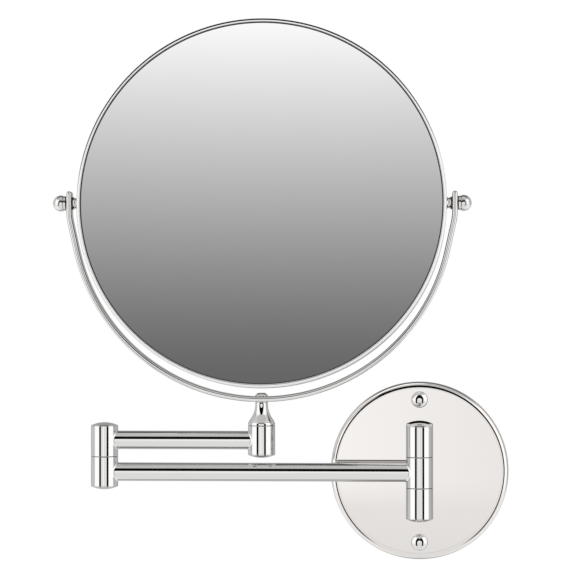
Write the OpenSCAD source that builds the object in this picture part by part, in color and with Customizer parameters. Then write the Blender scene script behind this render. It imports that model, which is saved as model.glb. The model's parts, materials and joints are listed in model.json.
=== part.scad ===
// Extendable shaving mirror for a bathroom wall.
// The origin is the centre of the wall plate's back, on the wall: X to the user's right, Y into
// the wall, Z up. In the modelled position the lower arm lies flat to the wall and points left,
// the upper arm is folded back over it, and the mirror faces the room.

/* [Wall plate] */
// Diameter of the wall plate
plate_d = 113.5; // [108:0.5:122]
// Depth of the wall plate, from the wall to its face
plate_depth = 8; // [7:0.5:10]
// Distance between the two fixing screws, centre to centre
fixing_spacing = 91; // [84:0.5:92]
// Distance from the plate's face to the hinge line
hinge_reach = 17; // [15.5:0.5:22]
// Length of a fixing screw behind the wall plate
fixing_depth = 24; // [18:1:36]

/* [Hinges] */
// Diameter of the hinge barrels
barrel_d = 17.2; // [16.8:0.1:18.4]
// Distance from an arm's centre line to the seam of its knuckle
seam_h = 9.6; // [9.2:0.1:10.4]
// Distance from an arm's centre line to the free end of its knuckle
free_h = 8.8; // [8.6:0.1:9.6]
// Length of each fixed knuckle on the wall plate
fixed_knuckle_l = 19; // [18:0.5:22]
// Height of the domed caps that close the barrels
dome_h = 2.4; // [1.6:0.1:2.8]

/* [Arms] */
// Length of the lower arm, from hinge line to hinge line
lower_arm_l = 200; // [180:5:260]
// Length of the upper arm, from hinge line to the mirror's stem
upper_arm_l = 100; // [80:5:150]
// Distance between the centre lines of the two arms
arm_spacing = 20.2; // [20:0.1:22]
// Outer diameter of the arm tubes
tube_d = 11.7; // [11.4:0.1:12.4]
// Wall thickness of the arm tubes
tube_wall = 1.2; // [1:0.1:1.5]

/* [Yoke] */
// Inner radius of the yoke's arc
yoke_r = 118.7; // [118.4:0.1:119.2]
// Distance from the stem's axis to the yoke's inner faces at the pivots
yoke_reach = 120.6; // [120.4:0.1:121.4]
// Thickness of the yoke, seen from the front
yoke_t = 3.5; // [3:0.1:4]
// Width of the yoke, front to back
yoke_w = 11; // [10:0.5:12]
// Lean of the yoke's straights, at the ends of its arc
arm_lean = 12.5; // [11.5:0.5:13.5]
// Height of the pivots over the centre of the yoke's arc
pivot_rise = 3.8; // [3.4:0.2:5]
// Height of the yoke's ends over the pivots
yoke_tip = 7.6; // [6:0.2:9]

/* [Mirror] */
// Outer diameter of the mirror's frame
frame_d = 234.4; // [232:0.2:235]
// Depth of the frame, front to back
frame_depth = 14; // [14:0.5:16]
// Diameter of the glass that shows inside the frame
sight_d = 229; // [227:0.2:230]
// Hollow of the magnifying glass at its centre
concave_sag = 5.5; // [3:0.5:6]
// Upward tilt of the mirror in the modelled position
mirror_tilt = 4; // [-10:1:10]
// Diameter of the round pivot knobs
knob_d = 10.2; // [9.4:0.2:11]

/* [Hidden] */
$fn = 128;

// Running clearance of a shaft in its bore, on the radius
clearance = 0.06;
// Fitting clearance between parts of one body
fit = 0.05;

// Wall plate
plate_r = plate_d / 2;
plate_wall = 1.3;
plate_corner = 3.2;
hinge_y = -(plate_depth + hinge_reach);
fixing_hole_r = 2.6;
fixing_neck_r = 2.25;
fixing_thread_r = 2;
fixing_neck_l = 3;
fixing_tip_l = 5;
fixing_head_r = 3.6;
fixing_head_h = 1.4;
recess_l = 4.4;
recess_w = 0.9;
recess_h = 1;
cap_r = 5.25;
cap_h = 3.6;
cap_rim = 1.4;
cap_wall = 0.7;
cap_dome_r = (pow(cap_r, 2) + pow(cap_h - cap_rim, 2)) / (2 * (cap_h - cap_rim));

// Fixed knuckles and the screws that hold them from inside the plate
post_r = 5;
post_screw_r = 2;
post_screw_l = 9;
post_screw_head_r = 3.6;
post_screw_head_h = 2.4;
post_hole_l = 10;

// Hinge barrels
barrel_r = barrel_d / 2;
washer_t = 0.35;
washer_r = barrel_r - 0.35;
dome_rim = 0.4;
dome_r = (pow(barrel_r, 2) + pow(dome_h - dome_rim, 2)) / (2 * (dome_h - dome_rim));
pocket_r = 5.35;
plug_l = 2.2;
elbow_plug_l = 1.6;
bolt_r = 2.5;
bore_r = bolt_r + clearance;
bolt_head_r = 4.2;
bolt_head_h = 3;
socket_r = 1.73;
socket_h = 1.6;
spring_t = 0.5;
spring_r = 4.8;
nut_r = 4.62;
nut_h = 3;
nut_collar_r = 3.6;
nut_collar_h = 1;
bolt_end = 0.8;

// Heights along the wall hinge and the elbow hinge, over the lower arm's centre line
fixed_low = seam_h + washer_t;
fixed_high = fixed_low + fixed_knuckle_l;
wall_seat = fixed_high - 8;
knuckle_mid = (fixed_low + fixed_high) / 2;
elbow_low = -free_h;
elbow_high = arm_spacing + free_h;
elbow_head_seat = elbow_high - 7.6;
elbow_nut_seat = elbow_low + 7.4;

// Arm tubes
tube_r = tube_d / 2;
tube_bore_r = tube_r - tube_wall;
spigot_r = tube_bore_r - fit;
spigot_l = 8;
cope_r = barrel_r + fit;

// Stem hinge, where the yoke turns on the upper arm
stem_low = arm_spacing - free_h;
stem_high = arm_spacing + 9.2;
stem_base = stem_high + washer_t;
stem_seat = stem_low + 4.8;
stem_spigot_r = 4;
stem_pocket_r = 5.6;
stem_slack = 0.3;
stem_washer_r = 5.3;
stem_washer_t = 1;
stem_screw_r = 2;
stem_screw_l = 9;
stem_screw_head_r = 3.5;
stem_screw_head_h = 2;
stem_plug_l = 1.2;
collar_h = 2.6;
collar_r = barrel_r - 0.05;
shoulder_r = 8;
neck_r = 4;
neck_straight = 1.6;
stem_total_h = 14.7;

// Yoke
yoke_bottom = stem_base + stem_total_h;
arc_z = yoke_bottom + yoke_t + yoke_r;
yoke_flat = yoke_w - yoke_t;
pivot_z = arc_z + pivot_rise;
arm_straight = 18;
bend_r = (yoke_reach - yoke_r * cos(arm_lean) - arm_straight * sin(arm_lean)) / (1 - cos(arm_lean));
pad_z = arm_straight * cos(arm_lean) - (yoke_r - bend_r) * sin(arm_lean);
lap_l = 0.5;
lap_step = 0.01;
yoke_screw_r = 2;
yoke_screw_l = 11;
yoke_head_r = 4.1;
yoke_head_top_r = 2.4;
yoke_head_h = 2.2;
yoke_seat_gap = 0.01;
yoke_seat = arc_z + yoke_seat_gap - sqrt(pow(yoke_r, 2) - pow(yoke_head_r, 2));

// Mirror head, measured from the pivot line and from the frame's middle plane
frame_r = frame_d / 2;
sight_r = sight_d / 2;
frame_wall = 1.2;
frame_round = 0.9;
glass_t = 2.5;
lip_t = 1.1;
glass_r = sight_r + 0.9;
glass_front = frame_depth / 2 - lip_t;
glass_back = glass_front - glass_t;
core_r = frame_r - frame_wall - 0.3;
concave_r = (pow(glass_r, 2) + pow(concave_sag, 2)) / (2 * concave_sag);
concave_steps = 14;
bezel_t = 0.6;

// Pivots; inner_face and outer_face are where the washers face the yoke
stud_r = 2;
stud_head_r = 2.9;
stud_head_h = 1.4;
stud_seat = sqrt(pow(frame_r - frame_wall, 2) - pow(stud_head_r, 2));
pivot_gap = 0.05;
inner_face = yoke_reach - pivot_gap;
outer_face = yoke_reach + yoke_t + pivot_gap;
pivot_washer_r = 4;
pivot_washer_t = 0.8;
spacer_r = 3.9;
outer_washer_r = 4.3;
outer_washer_t = 0.6;
knob_r = knob_d / 2;
knob_collar_r = 4.6;
knob_collar_l = 1.6;
knob_l = 8.1;
knob_hole_l = 5;
knob_seat = outer_face + outer_washer_t;
stud_end = knob_seat + knob_hole_l - 0.5;

chrome = [0.80, 0.81, 0.83];
steel = [0.62, 0.63, 0.65];
zinc = [0.70, 0.70, 0.66];
nylon = [0.16, 0.16, 0.17];
fibre = [0.34, 0.25, 0.17];
core_grey = [0.45, 0.46, 0.48];
silvered = [0.88, 0.92, 0.94];

// --- places -----------------------------------------------------------------------------------

// Z of the children points from the wall into the room, their Y points up
module from_wall() { rotate([90, 0, 0]) children(); }

module at_wall_hinge() { translate([0, hinge_y, 0]) children(); }

module at_elbow() { translate([-lower_arm_l, hinge_y, 0]) children(); }

module at_stem() { translate([upper_arm_l - lower_arm_l, hinge_y, 0]) children(); }

// The mirror's own frame: X along the pivots, Z towards the room
module at_head() {
    translate([upper_arm_l - lower_arm_l, hinge_y, pivot_z])
        rotate([90 - mirror_tilt, 0, 0])
            children();
}

// One pivot of the mirror: Z points outwards along the pivot line, side is -1 left or 1 right
module at_pivot(side) { at_head() rotate([0, 90 * side, 0]) children(); }

// --- shared shapes ----------------------------------------------------------------------------

module rod(r, low, high) { translate([0, 0, low]) cylinder(r = r, h = high - low); }

module ring(r, hole_r, low, high) {
    difference() {
        rod(r, low, high);
        rod(hole_r, low - 1, high + 1);
    }
}

// Dish with a rounded front edge, open at the back
module dish_profile(r, h, corner) {
    square([r - corner, h]);
    square([r, h - corner]);
    translate([r - corner, h - corner]) circle(corner, $fn = 64);
}

// Domed cap of a barrel: the dome stands on z = 0 and the plug reaches below it
module domed_cap(plug_r, plug_h) {
    rod(plug_r, -plug_h, 0.2);
    intersection() {
        rod(barrel_r, 0, dome_h);
        translate([0, 0, dome_h - dome_r]) sphere(dome_r);
    }
}

// Socket screw with its head above z = 0
module socket_screw(r, l, head_r, head_h) {
    rod(r, -l, 0.1);
    difference() {
        rod(head_r, 0, head_h);
        translate([0, 0, head_h - socket_h]) cylinder(r = socket_r, h = socket_h + 1, $fn = 6);
    }
}

// Lock nut that hangs below z = 0, with its collar downwards
module lock_nut() {
    difference() {
        union() {
            translate([0, 0, -nut_h]) cylinder(r = nut_r, h = nut_h, $fn = 6);
            rod(nut_collar_r, -nut_h - nut_collar_h, -nut_h + 0.1);
        }
        rod(bolt_r + fit, -nut_h - nut_collar_h - 1, 1);
    }
}

// Solid peg on a knuckle that the arm's tube slides over; direction is 1 for +X or -1 for -X
module spigot(direction) {
    rotate([0, 90 * direction, 0]) cylinder(r = spigot_r, h = barrel_r + spigot_l);
}

// Tube from one hinge line to the next along +X, with its ends coped to the barrels
module arm_tube(l) {
    difference() {
        rotate([0, 90, 0]) cylinder(r = tube_r, h = l);
        translate([-1, 0, 0]) rotate([0, 90, 0]) cylinder(r = tube_bore_r, h = l + 2);
        for (x = [0, l]) translate([x, 0, 0]) rod(cope_r, -barrel_d, barrel_d);
    }
}

// --- wall plate and its fixings ---------------------------------------------------------------

module wall_plate() {
    color(chrome) from_wall() difference() {
        rotate_extrude() dish_profile(plate_r, plate_depth, plate_corner);
        rotate_extrude() translate([0, -1])
            dish_profile(plate_r - plate_wall, plate_depth - plate_wall + 1,
                         plate_corner - plate_wall);
        for (s = [-1, 1]) {
            translate([0, s * fixing_spacing / 2, 0]) rod(fixing_hole_r, 0, plate_depth + 1);
            translate([0, s * knuckle_mid, 0]) rod(post_screw_r + 0.2, 0, plate_depth + 1);
        }
    }
}

// Knuckle above the arm, with its post to the plate; the bolt's pocket opens upwards
module fixed_knuckle() {
    difference() {
        union() {
            rod(barrel_r, fixed_low, fixed_high);
            translate([0, 0, knuckle_mid]) rotate([-90, 0, 0])
                cylinder(r = post_r, h = hinge_reach);
        }
        rod(bore_r, fixed_low - 1, fixed_high + 1);
        rod(pocket_r, wall_seat, fixed_high + 1);
        translate([0, hinge_reach - post_hole_l, knuckle_mid]) rotate([-90, 0, 0])
            cylinder(r = post_screw_r + fit, h = post_hole_l + 1);
    }
}

module upper_fixed_knuckle() { color(chrome) at_wall_hinge() fixed_knuckle(); }

module lower_fixed_knuckle() { color(chrome) at_wall_hinge() mirror([0, 0, 1]) fixed_knuckle(); }

// The screws' heads lie inside the plate and pull the posts against its face
module bracket_screws() {
    color(steel) from_wall() for (s = [-1, 1])
        translate([0, s * knuckle_mid, plate_depth - plate_wall]) mirror([0, 0, 1])
            socket_screw(post_screw_r, post_screw_l, post_screw_head_r, post_screw_head_h);
}

module fixing_screw() {
    rod(fixing_neck_r, -fixing_neck_l, 0.1);
    rod(fixing_thread_r, -(plate_depth + fixing_depth - fixing_tip_l), -fixing_neck_l + 0.1);
    translate([0, 0, -(plate_depth + fixing_depth)])
        cylinder(r1 = 0.2, r2 = fixing_thread_r, h = fixing_tip_l + 0.1);
    difference() {
        rod(fixing_head_r, 0, fixing_head_h);
        translate([0, 0, fixing_head_h]) for (a = [0, 90])
            rotate([0, 0, a]) cube([recess_l, recess_w, 2 * recess_h], center = true);
    }
}

module fixing_screws() {
    color(zinc) from_wall() for (s = [-1, 1])
        translate([0, s * fixing_spacing / 2, plate_depth]) fixing_screw();
}

// Hollow domed cap that is pushed over a fixing screw's head
module screw_cap() {
    difference() {
        domed_rod(cap_r, cap_dome_r, 0);
        domed_rod(fixing_head_r + fit, cap_dome_r - cap_wall, -1);
    }
}

// Rod from low up to a ball that has the same centre as the cap's dome
module domed_rod(r, ball_r, low) {
    intersection() {
        rod(r, low, cap_h);
        translate([0, 0, cap_h - cap_dome_r]) sphere(ball_r);
    }
}

module upper_screw_cap() {
    color(chrome) from_wall() translate([0, fixing_spacing / 2, plate_depth]) screw_cap();
}

module lower_screw_cap() {
    color(chrome) from_wall() translate([0, -fixing_spacing / 2, plate_depth]) screw_cap();
}

// --- wall hinge -------------------------------------------------------------------------------

module wall_hinge_bolt() {
    head_z = wall_seat + spring_t;
    color(steel) at_wall_hinge() translate([0, 0, head_z])
        socket_screw(bolt_r, head_z + wall_seat + nut_h + nut_collar_h + bolt_end,
                     bolt_head_r, bolt_head_h);
}

module wall_hinge_nut() { color(zinc) at_wall_hinge() translate([0, 0, -wall_seat]) lock_nut(); }

module wall_disc_spring() {
    color(steel) at_wall_hinge() ring(spring_r, bore_r, wall_seat, wall_seat + spring_t);
}

module wall_top_cap() {
    color(chrome) at_wall_hinge() translate([0, 0, fixed_high]) domed_cap(pocket_r - fit, plug_l);
}

module wall_bottom_cap() {
    color(chrome) at_wall_hinge() mirror([0, 0, 1]) translate([0, 0, fixed_high])
        domed_cap(pocket_r - fit, plug_l);
}

module wall_upper_washer() { color(nylon) at_wall_hinge() ring(washer_r, bore_r, seam_h, fixed_low); }

module wall_lower_washer() {
    color(nylon) at_wall_hinge() ring(washer_r, bore_r, -fixed_low, -seam_h);
}

// --- lower arm and elbow ----------------------------------------------------------------------

module lower_arm_tube() { color(chrome) at_elbow() arm_tube(lower_arm_l); }

module lower_arm_wall_knuckle() {
    color(chrome) at_wall_hinge() difference() {
        union() {
            rod(barrel_r, -seam_h, seam_h);
            spigot(-1);
        }
        rod(bore_r, -seam_h - 1, seam_h + 1);
    }
}

module lower_arm_elbow_knuckle() {
    color(chrome) at_elbow() difference() {
        union() {
            rod(barrel_r, elbow_low, seam_h);
            spigot(1);
        }
        rod(bore_r, elbow_low - 1, seam_h + 1);
        rod(pocket_r, elbow_low - 1, elbow_nut_seat);
    }
}

module elbow_bolt() {
    head_z = elbow_head_seat + spring_t;
    color(steel) at_elbow() translate([0, 0, head_z])
        socket_screw(bolt_r, head_z - elbow_nut_seat + nut_h + nut_collar_h + bolt_end,
                     bolt_head_r, bolt_head_h);
}

module elbow_nut() { color(zinc) at_elbow() translate([0, 0, elbow_nut_seat]) lock_nut(); }

module elbow_disc_spring() {
    color(steel) at_elbow() ring(spring_r, bore_r, elbow_head_seat, elbow_head_seat + spring_t);
}

module elbow_bottom_cap() {
    color(chrome) at_elbow() translate([0, 0, elbow_low]) mirror([0, 0, 1])
        domed_cap(pocket_r - fit, elbow_plug_l);
}

// --- upper arm --------------------------------------------------------------------------------

module upper_arm_tube() {
    color(chrome) at_elbow() translate([0, 0, arm_spacing]) arm_tube(upper_arm_l);
}

module upper_arm_elbow_knuckle() {
    color(chrome) at_elbow() difference() {
        union() {
            rod(barrel_r, fixed_low, elbow_high);
            translate([0, 0, arm_spacing]) spigot(1);
        }
        rod(bore_r, fixed_low - 1, elbow_high + 1);
        rod(pocket_r, elbow_head_seat, elbow_high + 1);
    }
}

module upper_arm_stem_knuckle() {
    color(chrome) at_stem() difference() {
        union() {
            rod(barrel_r, stem_low, stem_high);
            translate([0, 0, arm_spacing]) spigot(-1);
        }
        rod(stem_spigot_r + clearance, stem_low - 1, stem_high + 1);
        rod(stem_pocket_r, stem_low - 1, stem_seat);
    }
}

module elbow_washer() { color(nylon) at_elbow() ring(washer_r, bore_r, seam_h, fixed_low); }

module elbow_top_cap() {
    color(chrome) at_elbow() translate([0, 0, elbow_high]) domed_cap(pocket_r - fit, plug_l);
}

module stem_bottom_cap() {
    color(chrome) at_stem() translate([0, 0, stem_low]) mirror([0, 0, 1])
        domed_cap(stem_pocket_r - fit, stem_plug_l);
}

// --- yoke and stem ----------------------------------------------------------------------------

// Section of the yoke, a strip with round edges: x is outwards from inner, y is across its width
module yoke_section(inner, inset) {
    t = yoke_t - 2 * inset;
    translate([inner + inset, -yoke_flat / 2]) square([t, yoke_flat]);
    for (s = [-1, 1]) translate([inner + yoke_t / 2, s * yoke_flat / 2]) circle(d = t, $fn = 64);
}

// Round end of the strip
module yoke_tip_end() {
    rotate([90, 0, 0]) cylinder(d = yoke_t, h = yoke_flat, center = true);
    for (s = [-1, 1]) translate([0, s * yoke_flat / 2, 0]) sphere(d = yoke_t, $fn = 64);
}

// One end of the yoke past its arc: a straight that leans out, a bend and an upright pad at the pivot.
// Each stretch laps over the one below it by a step that is too small to see
module yoke_end() {
    tip_z = pivot_rise + yoke_tip - yoke_t / 2;
    rotate([0, arm_lean, 0]) {
        translate([0, 0, -lap_l]) linear_extrude(arm_straight + lap_l) yoke_section(yoke_r, lap_step);
        translate([yoke_r - bend_r, 0, arm_straight]) rotate([90, 0, 0])
            rotate_extrude(angle = arm_lean) yoke_section(bend_r, lap_step);
    }
    translate([0, 0, pad_z - lap_l]) linear_extrude(tip_z - pad_z + lap_l) yoke_section(yoke_reach, 0);
    translate([yoke_reach + yoke_t / 2, 0, tip_z]) yoke_tip_end();
}

module yoke() {
    color(chrome) at_stem() translate([0, 0, arc_z]) difference() {
        union() {
            rotate([90, 0, 0]) rotate([0, 0, 180 + arm_lean])
                rotate_extrude(angle = 180 - 2 * arm_lean) yoke_section(yoke_r, 2 * lap_step);
            for (turn = [0, 180]) rotate([0, 0, turn]) yoke_end();
        }
        translate([0, 0, pivot_rise]) rotate([0, 90, 0])
            cylinder(r = stud_r + clearance, h = 2 * yoke_reach + 20, center = true);
        rod(yoke_screw_r + fit, -yoke_r - yoke_t - 1, -yoke_r + 1);
    }
}

// Radius of the stem at height t, from 0 at the shoulder to 1 at the neck
function flare(t) = neck_r + (shoulder_r - neck_r) * pow(1 - t, 2);

module yoke_stem() {
    steps = 10;
    top = stem_total_h;
    flare_h = top - collar_h - neck_straight;
    color(chrome) at_stem() difference() {
        union() {
            translate([0, 0, stem_base]) rotate_extrude() polygon([
                [0, 0], [collar_r, 0], [collar_r, collar_h - 0.4], [collar_r - 0.3, collar_h],
                for (i = [0:steps]) [flare(i / steps), collar_h + flare_h * i / steps],
                [neck_r, top], [0, top]
            ]);
            rod(stem_spigot_r, stem_seat - stem_slack, stem_base + 0.1);
        }
        rod(stem_screw_r + fit, stem_seat - 1, stem_seat + stem_screw_l);
        rod(yoke_screw_r + fit, yoke_bottom - yoke_screw_l, yoke_bottom + 1);
    }
}

// Low domed screw that holds the yoke on its stem
module yoke_screw() {
    color(chrome) at_stem() {
        rod(yoke_screw_r, yoke_seat - yoke_screw_l, yoke_seat + 0.1);
        translate([0, 0, yoke_seat]) rotate_extrude() polygon([
            [0, 0], [yoke_head_r, 0], [yoke_head_r, 0.5], [yoke_head_r - 0.6, 1.4],
            [yoke_head_top_r, yoke_head_h], [socket_r, yoke_head_h], [socket_r, 0.8], [0, 0.8]
        ]);
    }
}

module stem_bearing_washer() {
    color(nylon) at_stem() ring(washer_r, stem_spigot_r + fit, stem_high, stem_base);
}

module stem_spring_washer() {
    color(steel) at_stem()
        ring(stem_washer_r, stem_spigot_r + fit, stem_seat - stem_slack, stem_seat);
}

module stem_retaining_washer() {
    high = stem_seat - stem_slack;
    color(steel) at_stem() ring(stem_washer_r, stem_screw_r + fit, high - stem_washer_t, high);
}

module stem_screw() {
    color(steel) at_stem() translate([0, 0, stem_seat - stem_slack - stem_washer_t])
        mirror([0, 0, 1])
            socket_screw(stem_screw_r, stem_screw_l - 1, stem_screw_head_r, stem_screw_head_h);
}

// --- mirror head ------------------------------------------------------------------------------

// Rolled band with a rounded front lip; its rear end is open for the glasses
module mirror_frame() {
    front = frame_depth / 2;
    color(chrome) at_head() difference() {
        rotate_extrude() polygon([
            [sight_r, front - lip_t], [frame_r - frame_wall, front - lip_t],
            [frame_r - frame_wall, -front], [frame_r, -front],
            for (a = [0:15:90]) [
                frame_r - frame_round * (1 - cos(a)), front - frame_round * (1 - sin(a))
            ],
            [sight_r + 0.5, front], [sight_r, front - 0.5]
        ]);
        rotate([0, 90, 0]) cylinder(r = stud_r + fit, h = frame_d + 2, center = true);
    }
}

// Ring pressed into the back of the frame, behind the magnifying glass
module rear_bezel() {
    back = -frame_depth / 2;
    seat = back + lip_t;
    skirt_r = frame_r - frame_wall - fit;
    color(chrome) at_head() rotate_extrude() polygon([
        [sight_r + 0.5, back], [skirt_r, back], [skirt_r, seat + bezel_t],
        [glass_r + fit, seat + bezel_t], [glass_r + fit, seat], [sight_r, seat], [sight_r, back + 0.5]
    ]);
}

module front_glass() { color(silvered) at_head() rod(glass_r, glass_back, glass_front); }

// Depth of the magnifying glass's hollow at radius r
function hollow(r) = concave_sag - (concave_r - sqrt(pow(concave_r, 2) - pow(r, 2)));

// Points of a hollow face from the centre to the edge, whose rim lies at height z
function hollow_face(z) = [
    for (i = [0:concave_steps]) let (r = glass_r * i / concave_steps) [r, z + hollow(r)]
];

function reversed(points) = [for (i = [len(points) - 1:-1:0]) points[i]];

module magnifying_glass() {
    color(silvered) at_head() rotate_extrude()
        polygon(concat(hollow_face(-glass_front), reversed(hollow_face(-glass_back))));
}

// Moulded disc that keeps the two glasses apart
module core_disc() {
    color(core_grey) at_head() difference() {
        rod(core_r, -glass_back, glass_back);
        rotate_extrude() polygon(concat(
            hollow_face(-glass_back + fit), [[glass_r, -glass_back - 1], [0, -glass_back - 1]]
        ));
        for (s = [-1, 1]) rotate([0, 90 * s, 0])
            rod(stud_head_r + 0.2, stud_seat - stud_head_h - 0.2, frame_r);
    }
}

// --- pivots -----------------------------------------------------------------------------------

module pivot_stud() {
    rod(stud_head_r, stud_seat - stud_head_h, stud_seat);
    rod(stud_r, stud_seat - 0.1, stud_end);
}

module pivot_spacer() { ring(spacer_r, stud_r + fit, frame_r, inner_face - pivot_washer_t); }

module inner_washer() {
    ring(pivot_washer_r, stud_r + fit, inner_face - pivot_washer_t, inner_face);
}

module outer_washer() { ring(outer_washer_r, stud_r + fit, outer_face, knob_seat); }

module knob() {
    difference() {
        union() {
            rod(knob_collar_r, knob_seat, knob_seat + knob_collar_l);
            translate([0, 0, knob_seat + knob_l - knob_r]) sphere(knob_r);
        }
        rod(knob_r, knob_seat - knob_r, knob_seat);
        rod(stud_r + fit, knob_seat - 1, knob_seat + knob_hole_l);
    }
}

module left_pivot_stud() { color(steel) at_pivot(-1) pivot_stud(); }
module right_pivot_stud() { color(steel) at_pivot(1) pivot_stud(); }
module left_spacer() { color(chrome) at_pivot(-1) pivot_spacer(); }
module right_spacer() { color(chrome) at_pivot(1) pivot_spacer(); }
module left_inner_washer() { color(fibre) at_pivot(-1) inner_washer(); }
module right_inner_washer() { color(fibre) at_pivot(1) inner_washer(); }
module left_outer_washer() { color(fibre) at_pivot(-1) outer_washer(); }
module right_outer_washer() { color(fibre) at_pivot(1) outer_washer(); }
module left_knob() { color(chrome) at_pivot(-1) knob(); }
module right_knob() { color(chrome) at_pivot(1) knob(); }

wall_plate();
upper_fixed_knuckle();
lower_fixed_knuckle();
bracket_screws();
fixing_screws();
upper_screw_cap();
lower_screw_cap();
wall_hinge_bolt();
wall_hinge_nut();
wall_disc_spring();
wall_top_cap();
wall_bottom_cap();
lower_arm_tube();
lower_arm_wall_knuckle();
lower_arm_elbow_knuckle();
wall_upper_washer();
wall_lower_washer();
elbow_bolt();
elbow_nut();
elbow_disc_spring();
elbow_bottom_cap();
upper_arm_tube();
upper_arm_elbow_knuckle();
upper_arm_stem_knuckle();
elbow_washer();
elbow_top_cap();
stem_bottom_cap();
yoke();
yoke_stem();
yoke_screw();
stem_bearing_washer();
stem_spring_washer();
stem_retaining_washer();
stem_screw();
mirror_frame();
rear_bezel();
front_glass();
magnifying_glass();
core_disc();
left_pivot_stud();
right_pivot_stud();
left_spacer();
right_spacer();
left_inner_washer();
right_inner_washer();
left_outer_washer();
right_outer_washer();
left_knob();
right_knob();
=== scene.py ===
import json
import math

import bmesh
import bpy
from mathutils import Matrix, Vector


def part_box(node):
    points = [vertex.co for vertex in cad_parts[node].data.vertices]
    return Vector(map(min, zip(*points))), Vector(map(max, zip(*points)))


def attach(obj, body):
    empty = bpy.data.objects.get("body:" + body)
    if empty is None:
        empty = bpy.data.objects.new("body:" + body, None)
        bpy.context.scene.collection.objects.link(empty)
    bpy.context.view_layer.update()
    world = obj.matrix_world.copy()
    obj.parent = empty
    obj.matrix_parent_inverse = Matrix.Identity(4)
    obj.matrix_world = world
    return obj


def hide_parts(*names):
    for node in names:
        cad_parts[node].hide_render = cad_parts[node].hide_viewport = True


MM = 0.001
PLAY = 0.05 * MM
LOOSE_PLAY = 0.06 * MM
THROUGH = 0.2

# Places, from the frame ------------------------------------------------------------------------

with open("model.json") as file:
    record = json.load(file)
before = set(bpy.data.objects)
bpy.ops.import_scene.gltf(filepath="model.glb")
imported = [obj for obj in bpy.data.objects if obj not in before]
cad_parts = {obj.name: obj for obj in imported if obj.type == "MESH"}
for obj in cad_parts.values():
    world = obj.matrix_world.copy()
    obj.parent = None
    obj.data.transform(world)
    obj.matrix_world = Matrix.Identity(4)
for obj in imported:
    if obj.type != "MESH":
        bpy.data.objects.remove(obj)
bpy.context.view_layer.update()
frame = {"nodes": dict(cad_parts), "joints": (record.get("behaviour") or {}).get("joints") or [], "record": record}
joint_at = {joint["name"]: Vector(joint["pos_m"]) for joint in frame["joints"]}


def middle(node):
    low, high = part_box(node)
    return (low + high) / 2


def reach(node, axis, sign):
    """How far a node reaches along an axis, as a coordinate of the row frame."""
    low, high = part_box(node)
    return (high if sign > 0 else low)["xyz".index(axis)]


def half_width(node, axis="x"):
    low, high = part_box(node)
    index = "xyz".index(axis)
    return (high[index] - low[index]) / 2


HINGE_Y = joint_at["wall_swing"].y
ELBOW_X = joint_at["elbow_fold"].x
STEM_X = joint_at["yoke_swivel"].x
PIVOT = joint_at["mirror_tilt"]
FACING_GLASS = middle("front_glass") - PIVOT
TILT = math.atan2(FACING_GLASS.z, -FACING_GLASS.y)

QUARTER = math.pi / 2
TURN_TO_ROOM = Matrix.Rotation(QUARTER, 4, "X")


def on_z(x, y=0.0, z=0.0):
    """Lathe axis straight up, at a place in the row frame."""
    return Matrix.Translation((x, y, z))


def into_room(x=0.0, z=0.0):
    """Lathe axis from the wall into the room."""
    return Matrix.Translation((x, 0, z)) @ TURN_TO_ROOM


HEAD = Matrix.Translation(PIVOT) @ Matrix.Rotation(QUARTER - TILT, 4, "X")


def upright(side):
    """Leaves a lathe axis pointing up for side 1 and turns it down for side -1."""
    return Matrix.Identity(4) if side > 0 else Matrix.Rotation(math.pi, 4, "X")


def on_pivot(side):
    """Lathe axis outwards along the pivot line; side is -1 left or 1 right."""
    return HEAD @ Matrix.Rotation(side * QUARTER, 4, "Y")


# Mesh building ---------------------------------------------------------------------------------

SHARP = math.radians(32)
ON_AXIS = 1e-7
NEARLY_STRAIGHT = math.pi - 0.3
EDGE_SHARE = 0.45
CORNER_STEPS = 4
NORMAL_WEIGHT = 90


def arc(centre, radius, start, end, steps=8):
    """Points of an arc in a profile, from one angle to another in degrees, ends included."""
    angles = [math.radians(start + (end - start) * i / steps) for i in range(steps + 1)]
    return [(centre[0] + radius * math.cos(a), centre[1] + radius * math.sin(a)) for a in angles]


def eased(points, radius, closed=True):
    """The profile with each of its corners off the axis rounded by up to radius."""
    out = []
    count = len(points)
    for i, point in enumerate(points):
        here = Vector(point)
        if not closed and i in (0, count - 1) or here.x < ON_AXIS:
            out.append(tuple(here))
            continue
        before, after = Vector(points[i - 1]) - here, Vector(points[(i + 1) % count]) - here
        angle = before.angle(after, math.pi)
        if angle > NEARLY_STRAIGHT:
            out.append(tuple(here))
            continue
        shorter = min(EDGE_SHARE * before.length, EDGE_SHARE * after.length)
        trim = min(radius / math.tan(angle / 2), shorter)
        first, last = here + before.normalized() * trim, here + after.normalized() * trim
        for step in range(CORNER_STEPS + 1):
            t = step / CORNER_STEPS
            out.append(tuple((1 - t) ** 2 * first + 2 * t * (1 - t) * here + t * t * last))
    return out


def add_lathe(bm, profile, place, segments=64, closed=False):
    """Turns a profile of (radius, height) about the lathe axis; a point on the axis becomes a pole."""
    rings = []
    for radius, height in profile:
        if radius < ON_AXIS:
            rings.append([bm.verts.new(place @ Vector((0, 0, height)))])
            continue
        rings.append([
            bm.verts.new(place @ Vector((radius * math.cos(a), radius * math.sin(a), height)))
            for a in (2 * math.pi * k / segments for k in range(segments))
        ])
    pairs = list(zip(rings, rings[1:])) + ([(rings[-1], rings[0])] if closed else [])
    for one, two in pairs:
        for k in range(segments):
            n = (k + 1) % segments
            corners = [one[k % len(one)], one[n % len(one)], two[n % len(two)], two[k % len(two)]]
            corners = list(dict.fromkeys(corners))
            if len(corners) > 2:
                bm.faces.new(corners)


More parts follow.
